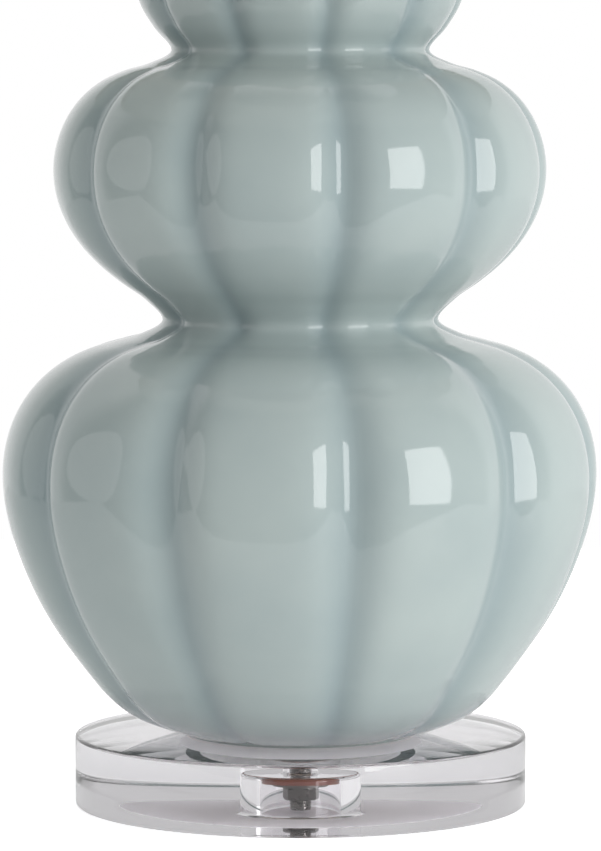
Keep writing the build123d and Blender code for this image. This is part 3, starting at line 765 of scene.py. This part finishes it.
# %% [markdown]
# ## The drum shade
# The shade is a hard-back drum: off-white linen laminated to a stiff white liner, on a wire ring
# at each end, with a folded linen tape over each rim. Nothing hangs or stretches, so it is built
# as two thin shells and not as simulated cloth. Only the overlap at the back gives the sheet away.
# Each piece of cloth gets UVs in metres, so that its threads run round and up the drum. They
# start at the back, under the overlap, because a pattern can't close on itself without a seam.

# %% Measure the drum
def radius_at(node, at_top):
    """Radius of a node's outside at its top or bottom, in millimetres."""
    heights = [vertex.co.z for vertex in nodes[node].data.vertices]
    level = max(heights) if at_top else min(heights)
    return max(math.hypot(v.co.x, v.co.y) for v in nodes[node].data.vertices
               if abs(v.co.z - level) < 0.01 * MM) / MM


shade_bottom, shade_top, _ = span("shade_drum")
drum_bottom_radius = radius_at("shade_drum", False)
drum_top_radius = radius_at("shade_drum", True)


def drum_radius(height):
    """Radius of the drum's outside at a height."""
    share = (height - shade_bottom) / (shade_top - shade_bottom)
    return drum_bottom_radius + (drum_top_radius - drum_bottom_radius) * share


print("drum radii:", round(drum_bottom_radius, 1), round(drum_top_radius, 1), "mm")

# %% Linen and liner shells
linen_thick, liner_thick = 0.55, 0.6
wall_thick = linen_thick + liner_thick
drum_sides = 256


def cloth_uvs(piece, start=0.25):
    """UVs in metres: round the drum from the start, in turns from +X, and up it."""
    layer = piece.data.uv_layers.new(name="cloth").data
    girth = math.pi * (drum_bottom_radius + drum_top_radius) * MM
    for face in piece.data.polygons:
        spots = [piece.data.vertices[index].co for index in face.vertices]
        turns = [(math.atan2(spot.y, spot.x) / (2 * math.pi) - start) % 1 for spot in spots]
        across_start = max(turns) - min(turns) > 0.5
        for corner, spot, turn in zip(face.loop_indices, spots, turns):
            whole = 1 if across_start and turn < 0.5 else 0
            layer[corner].uv = ((turn + whole) * girth, spot.z)
    return piece


def drum_shell(name, inward, thick):
    """A thin shell that follows the drum from inward of its outside."""
    outline = [(drum_radius(h) - inward, h) for h in (shade_bottom, shade_top)]
    outline += [(drum_radius(h) - inward - thick, h) for h in (shade_top, shade_bottom)]
    return cloth_uvs(turned(name, outline, sides=drum_sides))


linen_skin = drum_shell("linen_skin", 0.0, linen_thick)
liner_skin = drum_shell("liner_skin", linen_thick, liner_thick)
print("shells:", wall_thick, "mm together")

# %% [markdown]
# ### Tapes and overlap
# The tape is one strip, folded over the rim and glued on both sides. It is thickest at the fold.
# The overlap at the back is one more thickness of the linen, pressed thin at its edges.

# %% Tapes
tape_height, tape_thick = 9.0, 0.65
tape_gap = 0.05            # of glue, between the tape and the wall
fold_rise = 0.55           # how far the fold stands past the rim


def tape(name, at_top):
    """The folded tape: outside the rim, over it, and down the inside."""
    rim = shade_top if at_top else shade_bottom
    inward = -1 if at_top else 1
    far = rim + inward * tape_height
    fold = rim - inward * fold_rise
    at_rim, at_far = drum_radius(rim), drum_radius(far)
    outline = [
        (at_far + tape_gap, far), (at_far + tape_thick * 0.7, far),
        (at_rim + tape_thick, rim - inward * 0.1), (at_rim + 2 * tape_gap, fold),
        (at_rim - wall_thick - 2 * tape_gap, fold), (at_rim - wall_thick - tape_thick * 0.5, rim),
        (at_far - wall_thick - 0.4, far), (at_far - wall_thick - tape_gap, far),
        (at_rim - wall_thick - tape_gap, rim), (at_rim + tape_gap, rim),
    ]
    if at_top:
        outline.reverse()
    return cloth_uvs(turned(name, rounded(outline, 0.3, steps=3), sides=drum_sides))


tapes = {"shade_top_trim": tape("top_tape", True), "shade_bottom_trim": tape("bottom_tape", False)}
print("tapes:", *tapes)

# %% Overlap at the back
seam_width, seam_thick = 14.0, 0.45
seam_lift = 0.02           # over the linen, so that the two don't share a face
seam_edge_share = 0.3      # of the thickness, at the strip's edges
seam_stations = 9
seam_half_angle = seam_width / 2 / drum_bottom_radius


def seam_strip(name):
    """The overlap of the linen at the back, one more thickness of the sheet."""
    low, high = shade_bottom + tape_height, shade_top - tape_height
    corners = [(low, seam_thick), (high, seam_thick), (high, seam_lift), (low, seam_lift)]
    points = []
    for a in np.linspace(-seam_half_angle, seam_half_angle, seam_stations):
        share = 1 if abs(a) < seam_half_angle * 0.99 else seam_edge_share
        for height, outward in corners:
            r = (drum_radius(height) + outward * share) * MM
            points.append((r * math.sin(a), r * math.cos(a), height * MM))
    ends = [(3, 2, 1, 0), tuple(range(len(points) - 4, len(points)))]
    return make_mesh(name, points, grid_faces(seam_stations, 4, False) + ends)


seam = cloth_uvs(seam_strip("seam_strip"), start=0.75)
print("overlap:", seam_width, "mm wide")

# %% [markdown]
# ### Linen
# Linen is a plain weave of flax. Its threads are uneven: slubs make some thicker and darker. Two
# stretched noises give the slubs of warp and weft, and two fine waves give the threads, about
# eight to the centimetre here so that they show at this distance. Flax scatters light softly, so
# it is rough, with a little sheen.

# %% Linen
thread = 1.2 * MM
slub_long, slub_thin = 18 * MM, 1.1 * MM
weave_height = 0.12 * MM
wave_at_one = 0.314        # metres between the crests of a Wave texture at scale 1


def linen_cloth(name, pale, dark):
    """Woven linen, whose threads follow the drum's UVs."""
    made, tree, shader = material(name, roughness=0.9, sheen_weight=0.15)
    flat = add(tree, "ShaderNodeUVMap", uv_map="cloth").outputs[0]
    heights = []
    for long_way in (0, 1):
        scale = (1 / slub_long, 1 / slub_thin, 1 / slub_thin) if long_way else (
            1 / slub_thin, 1 / slub_long, 1 / slub_thin)
        drawn = add(tree, "ShaderNodeVectorMath", {0: flat, 1: scale}, operation="MULTIPLY")
        slub = add(tree, "ShaderNodeTexNoise", {
            "Vector": drawn.outputs[0], "Scale": 1.0, "Detail": 2.0})
        threads = add(tree, "ShaderNodeTexWave", {"Vector": flat, "Scale": wave_at_one / thread,
                                                  "Distortion": 1.5, "Detail": 1.0},
                      bands_direction="Y" if long_way else "X")
        heights.append(add(tree, "ShaderNodeMath", {
            0: slub.outputs["Fac"], 1: threads.outputs["Fac"]}, operation="ADD"))
    weave = add(tree, "ShaderNodeMath", {0: heights[0].outputs[0], 1: heights[1].outputs[0]},
                operation="ADD")
    tone = add(tree, "ShaderNodeMapRange", {
        "Value": weave.outputs[0], "From Min": 1.2, "From Max": 2.8})
    tint = add(tree, "ShaderNodeMix", {
        "Factor": tone.outputs[0], "A": colour(dark), "B": colour(pale)}, data_type="RGBA")
    tree.links.new(tint.outputs["Result"], shader.inputs["Base Color"])
    bump = add(tree, "ShaderNodeBump", {
        "Height": weave.outputs[0], "Distance": weave_height, "Strength": 0.7})
    tree.links.new(bump.outputs["Normal"], shader.inputs["Normal"])
    return made


linen = linen_cloth("woven_linen", "#ebe6da", "#d3ccbd")
linen_tape = linen_cloth("folded_linen_tape", "#e6e0d2", "#cfc8b8")

# %% [markdown]
# The liner is white styrene sheet, a satin plastic that evens out the bulb's light. The tapes are
# of a slightly warmer linen than the drum.

# %% Liner, and finish the shade
liner = mottled("white_styrene_liner", "#f3f1ec", "#faf9f5", 25.0, 0.1, roughness=0.55)
finish_piece(linen_skin, linen, "shade", "shade_linen", "shade_drum")
finish_piece(liner_skin, liner, "shade", "shade_linen")
finish_piece(seam, linen_tape, "shade", "shade_linen")
for node, piece in tapes.items():
    finish_piece(piece, linen_tape, "shade", "shade_trim", node)

# %% [markdown]
# ### The wire frame of the shade
# Steel wire with a baked white coating: one ring at each rim, and three arms that drop to the
# hub on the harp. Powder coat is satin, with a fine orange peel.

# %% Rings, arms and hub
ring_wire, arm_wire = 1.5, 1.6        # radii of the wires
ring_inset = 1.2 + ring_wire + 0.25   # from the drum's outside to the middle of the ring's wire
top_ring_height, bottom_ring_height = shade_top - 2 * ring_wire, shade_bottom + 2 * ring_wire
hub_thick, hub_radius, hub_hole = 1.6, 14.0, 3.4
arms, arm_drop, arm_bend = 3, 13.0, 25
spider_low = span("shade_spider")[0] + arm_wire
arm_reach = drum_radius(top_ring_height) - ring_inset
arm_path = bent([(hub_radius * 0.6, spider_low), (arm_reach - 3 * arm_drop, spider_low),
                 (arm_reach, top_ring_height)], [arm_bend])
spider_parts = [hoop("top_ring", arm_reach, top_ring_height, ring_wire)]
for number in range(arms):
    turn = math.radians(90 + 360 / arms * number)
    spider_parts.append(wire(f"arm_{number}", arm_path, arm_wire, turn))
spider_parts.append(turned("hub", rounded([
    (hub_hole, spider_low - hub_thick / 2), (hub_radius, spider_low - hub_thick / 2),
    (hub_radius, spider_low + hub_thick / 2), (hub_hole, spider_low + hub_thick / 2)],
    radius=0.3)))

coated = mottled("white_powder_coated_wire", "#e4e3df", "#f1f0ec", 0.8, 0.03, roughness=0.4)
spider = joined("spider_frame", spider_parts)
finish_piece(spider, coated, "shade", "ring_wire", "shade_spider")
low_ring = hoop("low_ring", drum_radius(bottom_ring_height) - ring_inset, bottom_ring_height,
                ring_wire)
finish_piece(low_ring, coated, "shade", "ring_wire", "shade_bottom_ring")

# %% [markdown]
# ### Finial
# A small turned knob screws down on the shade. Its outline is drawn as corners, in shares of its
# radius and height, and rounded. A blind hole in its foot takes the stud.

# %% Finial
finial_bottom, finial_top, finial_radius = span("finial")
tall = finial_top - finial_bottom
finial_outline = [(finial_radius * r, finial_bottom + tall * h) for r, h in (
    (0.38, 0.0), (1.0, 0.0), (1.0, 0.09), (0.72, 0.13), (0.50, 0.19), (0.38, 0.30), (0.42, 0.37),
    (0.66, 0.41), (0.66, 0.45), (0.52, 0.49), (0.80, 0.60), (0.88, 0.70), (0.78, 0.82),
    (0.50, 0.93), (0.20, 1.0), (0.02, 1.0), (0.02, 0.5), (0.38, 0.5))]
finial = turned("turned_finial", rounded(finial_outline, radius=1.1), sides=64)
finish_piece(finial, nickel, "finial", "nickel", "finial")

# %% [markdown]
# ## Bulb
# The bulb is opal glass over a rolled aluminium screw cap. Its glass is a globe on a neck, joined
# by one smooth curve. Opal glass is white all through and only softly glossy.

# %% Bulb
glass_bottom, glass_top, glass_radius = span("bulb_envelope")
bulb_neck = 14.2           # radius at the screw cap
neck_pull, globe_pull = 20, 16        # how far the curve runs on straight at its two ends
join_angle = math.radians(-35)        # where the curve meets the globe
crown_centre = glass_top - glass_radius
join_spot = np.array([glass_radius * math.cos(join_angle),
                      crown_centre + glass_radius * math.sin(join_angle)])
along = np.array([-math.sin(join_angle), math.cos(join_angle)])
pulls = [np.array([bulb_neck, glass_bottom]), np.array([bulb_neck, glass_bottom + neck_pull]),
         join_spot - along * globe_pull, join_spot]
side = [(1 - t) ** 3 * pulls[0] + 3 * t * (1 - t) ** 2 * pulls[1]
        + 3 * t * t * (1 - t) * pulls[2] + t ** 3 * pulls[3] for t in np.linspace(0, 1, 16)]
crown = [(glass_radius * math.cos(a), crown_centre + glass_radius * math.sin(a))
         for a in np.linspace(join_angle, math.pi / 2, 24)[1:-1]]
glass = turned("opal_globe", [(0.0, glass_bottom), *side, *crown, (0.0, glass_top)], sides=96)
opal = mottled("opal_glass", "#ecebe6", "#f5f4f0", 12.0, 0.02, roughness=0.3, ior=1.5)
finish_piece(glass, opal, "bulb", "bulb_glass", "bulb_envelope")
dress(metal("rolled_aluminium", "#c9c8c6", 0.3, 1.5, 0.3), "bulb_base", "bulb_contact")

# %% [markdown]
# ## The inside of the socket, and the switch
# A liner of waxed card keeps the shell off the live parts, and the socket's inside is a matt
# block of moulded phenolic. The switch knob is phenolic too, but polished by its mould.

# %% Socket's inside and switch
card = mottled("insulating_card", "#a48c64", "#bda57c", 1.5, 0.05, roughness=0.85)
block = mottled("black_phenolic_block", "#191718", "#242122", 1.0, 0.02, roughness=0.5)
moulded = mottled("black_moulded_phenolic", "#151314", "#201e1f", 1.0, 0.01, roughness=0.28)
dress(card, "shell_liner")
dress(block, "socket_interior")
dress(moulded, "switch_knob")

# %% [markdown]
# ## The studio
# The photograph has a white ground without shadows, which a photographer gets from a light table:
# a sheet of opal acrylic lit from below. Its front edge is close to the lamp, and beyond it the
# glaze mirrors a grey room. That edge is the soft line across each belly. The camera sees the
# table brighter than it lights the lamp, because the photograph's ground was whitened.

# %% Light table
table_front, table_back, table_side = -0.355, 1.1, 0.95
glow_on_lamp, glow_in_view = 0.28, 0.75
grain_size = 50 * MM
table = make_mesh("light_table", [
    (-table_side, table_front, 0), (table_side, table_front, 0),
    (table_side, table_back, 0), (-table_side, table_back, 0),
], [(0, 1, 2, 3)])
sheet, tree, shader = material("opal_acrylic_sheet", roughness=0.5)
place = add(tree, "ShaderNodeTexCoord").outputs["Object"]
grain = add(tree, "ShaderNodeTexNoise", {"Vector": place, "Scale": 1 / grain_size})
tint = add(tree, "ShaderNodeMix", {
    "Factor": grain.outputs["Fac"], "A": colour("#e2e2e2"), "B": colour("#e8e8e8")}, data_type="RGBA")
tree.links.new(tint.outputs["Result"], shader.inputs["Base Color"])
shader.inputs["Emission Color"].default_value = (1, 1, 1, 1)
ray = add(tree, "ShaderNodeLightPath")
glow = add(tree, "ShaderNodeMapRange", {
    "Value": ray.outputs["Is Camera Ray"], "To Min": glow_on_lamp, "To Max": glow_in_view})
tree.links.new(glow.outputs["Result"], shader.inputs["Emission Strength"])
table.data.materials.append(sheet)
print("light table:", 2 * table_side, "by", table_back - table_front, "m")

# %% [markdown]
# ### Lights
# One tall softbox stands on the right, level with the lamp, and gives the window-shaped patches.
# A large round umbrella on the left only lifts the shadows. The rest comes from the room.

# %% Lights
aim_height = 0.2


def area_light(name, azimuth, height, distance, width, tall, radiance):
    """An area light that faces the lamp, at an azimuth right of the lamp's front, in degrees."""
    light = bpy.data.lights.new(name, "AREA")
    light.shape = "ELLIPSE" if width == tall else "RECTANGLE"
    light.size, light.size_y = width, tall
    share = math.pi / 4 if width == tall else 1.0
    light.energy = radiance * math.pi * width * tall * share
    made = bpy.data.objects.new(name, light)
    turn = math.radians(azimuth)
    made.location = (distance * math.sin(turn), -distance * math.cos(turn), height)
    aim = Vector((0, 0, aim_height)) - made.location
    made.rotation_euler = aim.to_track_quat("-Z", "Y").to_euler()
    scene.collection.objects.link(made)
    print(name, round(light.energy, 1), "W")


area_light("key_softbox", azimuth=52, height=0.45, distance=1.6, width=0.75, tall=1.1, radiance=5.4)
area_light("left_umbrella", azimuth=-72, height=0.50, distance=1.7, width=1.3, tall=1.3, radiance=0.8)

# %% [markdown]
# ### The room
# Behind the lamp is a white backdrop, which the edges and the clear base mirror. In front is the
# grey room, darker on the left. The camera sees the backdrop all round, so the table has no
# horizon. Seen through the acrylic it is greyer, as in the photograph. Light that has met a matt
# surface and then leaves through the acrylic finds a brighter room, so the pad doesn't go dark.

# %% Room
left_wall, right_wall = 0.38, 0.80    # brightness that falls on matt surfaces
dark_front, backdrop = 0.13, 1.0      # brightness that glossy surfaces mirror
seen_through, lit_through = 0.56, 2.2

world = bpy.data.worlds.new("studio")
scene.world = world
world.use_nodes = True
tree = world.node_tree
tree.nodes.clear()
ray = add(tree, "ShaderNodeLightPath")
toward = add(tree, "ShaderNodeSeparateXYZ", {0: add(tree, "ShaderNodeTexCoord").outputs["Generated"]})


def brightness(axis, from_min, from_max, to_min, to_max):
    """A brightness that changes smoothly with the direction's part along an axis."""
    return add(tree, "ShaderNodeMapRange", {
        "Value": toward.outputs[axis], "From Min": from_min, "From Max": from_max,
        "To Min": to_min, "To Max": to_max}, interpolation_type="SMOOTHSTEP").outputs["Result"]


walls = brightness("X", -0.8, 0.8, left_wall, right_wall)
mirrored = brightness("Y", 0.0, 0.35, dark_front, backdrop)
bounced = add(tree, "ShaderNodeMath", {0: ray.outputs["Diffuse Depth"], 1: 0.5},
              operation="GREATER_THAN")
through = add(tree, "ShaderNodeMix", {
    "Factor": bounced.outputs[0], "A": seen_through, "B": lit_through})
around = add(tree, "ShaderNodeMix", {
    "Factor": ray.outputs["Is Glossy Ray"], "A": walls, "B": mirrored})
hidden = add(tree, "ShaderNodeMix", {"Factor": ray.outputs["Is Transmission Ray"],
                                     "A": around.outputs["Result"], "B": through.outputs["Result"]})
strength = add(tree, "ShaderNodeMix", {
    "Factor": ray.outputs["Is Camera Ray"], "A": hidden.outputs["Result"], "B": backdrop})
room = add(tree, "ShaderNodeBackground", {
    "Color": (1, 1, 1, 1), "Strength": strength.outputs["Result"]})
add(tree, "ShaderNodeOutputWorld", {"Surface": room.outputs[0]})
scene.view_settings.view_transform = "Standard"
